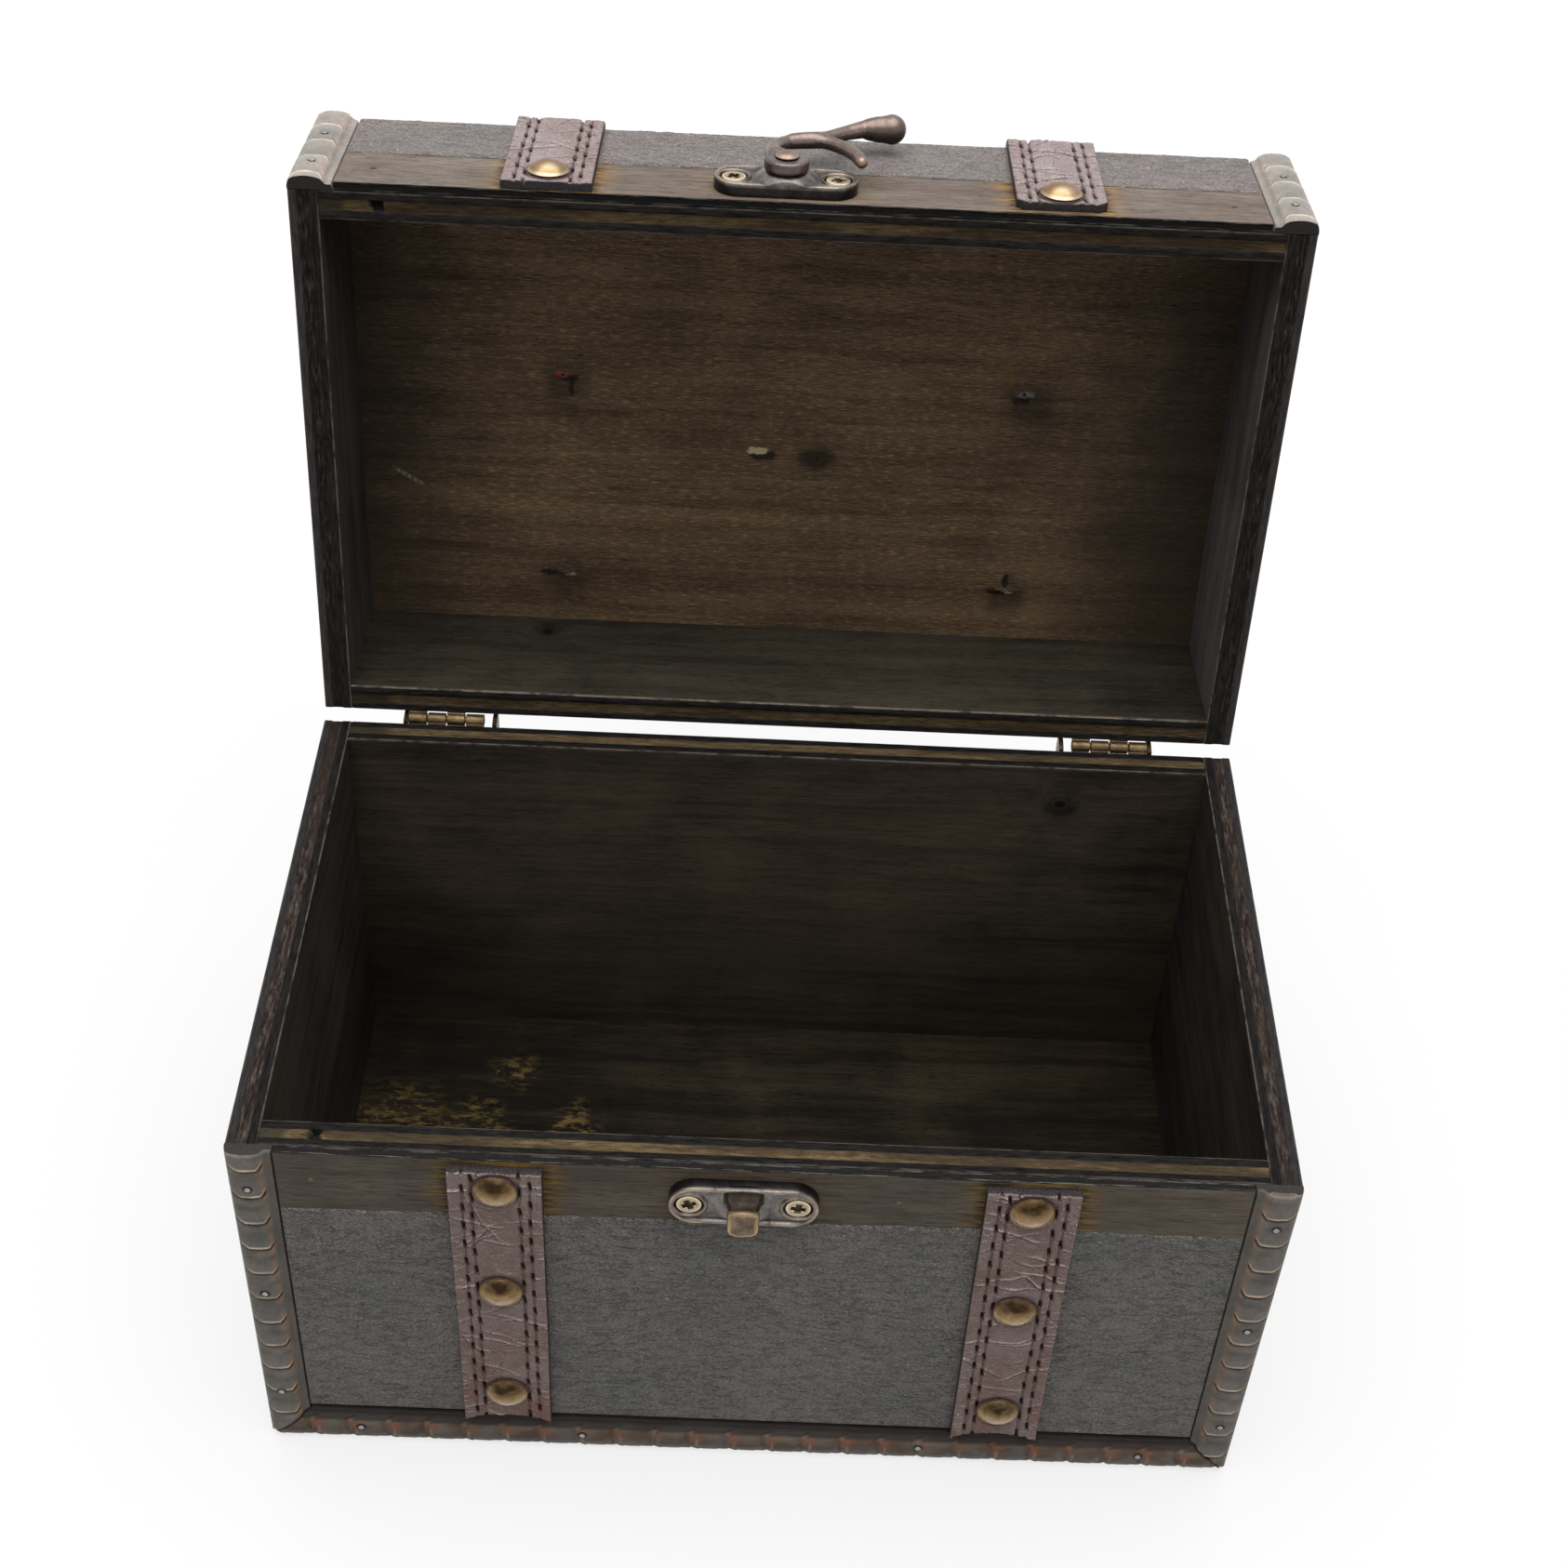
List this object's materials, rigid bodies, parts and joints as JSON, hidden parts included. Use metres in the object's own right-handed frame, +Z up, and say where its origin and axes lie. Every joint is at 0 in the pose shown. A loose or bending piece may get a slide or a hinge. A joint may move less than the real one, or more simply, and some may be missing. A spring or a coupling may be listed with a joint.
{
  "type": "jewellery box",
  "caption": "Small hinged wooden chest with a leather covered front, embossed mouldings, studded straps, stop hinges and a swing hook catch.",
  "frame": {"origin": "middle of the wooden base's underside, on the table", "axes": "+Z up, +X to the right seen from the front, +Y towards the hinges at the back; the lid stands open on its stops"},
  "size_m": [0.22, 0.2033, 0.2429],
  "materials": {
    "wood": "dark brown stained plywood, thin matt lacquer",
    "band_wood": "dark olive brown stained board, satin",
    "leathercloth": "grey green wrinkled leather cloth, satin",
    "moulding": "embossed moulding, grey paint rubbed through to brown",
    "strap_leather": "purple brown creased leather, stitched",
    "antique_brass": "antique brass, worn bright on the crown",
    "antique_bronze": "antique copper bronze, satin",
    "screw_brass": "pale brass, satin",
    "hinge_bronze": "dull antique brass",
    "nail_steel": "bright steel nail heads"
  },
  "bodies": {
    "base": {"base_front_panel": "wood", "base_back_panel": "wood", "base_left_panel": "wood", "base_right_panel": "wood", "base_floor": "wood", "base_front_board": "band_wood", "base_leathercloth": "leathercloth", "base_moulding_left": "moulding", "base_moulding_right": "moulding", "base_moulding_bottom": "moulding", "base_strap_left": "strap_leather", "base_strap_right": "strap_leather", "base_studs": "antique_brass", "base_moulding_nails": "nail_steel", "base_board_nails": "nail_steel", "catch_plate": "antique_bronze", "catch_post": "antique_brass", "catch_screws": "screw_brass", "hinge_left_base_leaf": "hinge_bronze", "hinge_right_base_leaf": "hinge_bronze", "hinge_pins": "hinge_bronze", "hinge_base_screws": "hinge_bronze"},
    "lid": {"lid_front_panel": "wood", "lid_back_panel": "wood", "lid_left_panel": "wood", "lid_right_panel": "wood", "lid_top_board": "wood", "lid_front_board": "band_wood", "lid_leathercloth": "leathercloth", "lid_moulding_left": "moulding", "lid_moulding_right": "moulding", "lid_strap_left": "strap_leather", "lid_strap_right": "strap_leather", "lid_studs": "antique_brass", "lid_moulding_nails": "nail_steel", "lid_board_nails": "nail_steel", "latch_plate": "antique_bronze", "latch_rivet": "antique_bronze", "latch_screws": "screw_brass", "hinge_left_lid_leaf": "hinge_bronze", "hinge_right_lid_leaf": "hinge_bronze", "hinge_lid_screws": "hinge_bronze"},
    "hook": {"swing_hook": "antique_bronze"}
  },
  "joints": [
    {"name": "lid_hinge", "type": "hinge", "parent": "base", "child": "lid", "pos_m": [0, 0.0673, 0.1017], "axis": [1, 0, 0], "range_deg": [0, 98]},
    {"name": "hook_swing", "type": "hinge", "parent": "lid", "child": "hook", "pos_m": [-0.0041, 0.09429, 0.23989], "axis": [0, -0.1392, -0.9903], "range_deg": [0, 121]}
  ]
}
